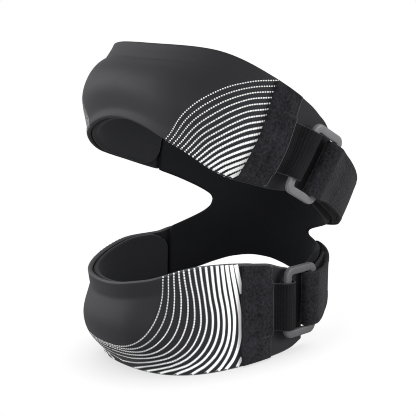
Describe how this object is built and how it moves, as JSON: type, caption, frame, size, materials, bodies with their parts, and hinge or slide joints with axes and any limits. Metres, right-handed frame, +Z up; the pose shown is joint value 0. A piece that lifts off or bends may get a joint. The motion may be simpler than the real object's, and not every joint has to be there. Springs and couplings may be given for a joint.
{
  "type": "patella strap",
  "caption": "Two-band knee strap with padded front bands, a shaped panel behind the knee, an open kneecap window and webbing-and-buckle closures on one side.",
  "frame": {"origin": "middle of the bounding box on the floor plane the lower band stands on", "axes": "+Z up; -Y towards the kneecap side; +X towards the side with the buckles; +Y behind the knee"},
  "size_m": [0.1444, 0.1542, 0.1644],
  "materials": {
    "front_cloth": "smooth laminated knit over foam, matt charcoal with pale printed halftone lines",
    "panel_cloth": "matt black brushed knit laminate",
    "lining": "matt black fine-grain lining over foam",
    "loop_nap": "brushed loop nap, black, with stitched edges",
    "elastic": "ribbed woven elastic, black",
    "strap_cloth": "brushed loop strap, charcoal, with sewn edges",
    "buckle": "moulded grey plastic, satin"
  },
  "bodies": {
    "root": {"back_panel": "panel_cloth", "upper_front": "front_cloth", "lower_front": "front_cloth", "upper_pad": "lining", "lower_pad": "lining", "upper_loop_patch": "loop_nap", "lower_loop_patch": "loop_nap", "upper_webbing": "elastic", "lower_webbing": "elastic", "upper_strap": "strap_cloth", "lower_strap": "strap_cloth", "upper_buckle": "buckle", "lower_buckle": "buckle"}
  },
  "joints": []
}
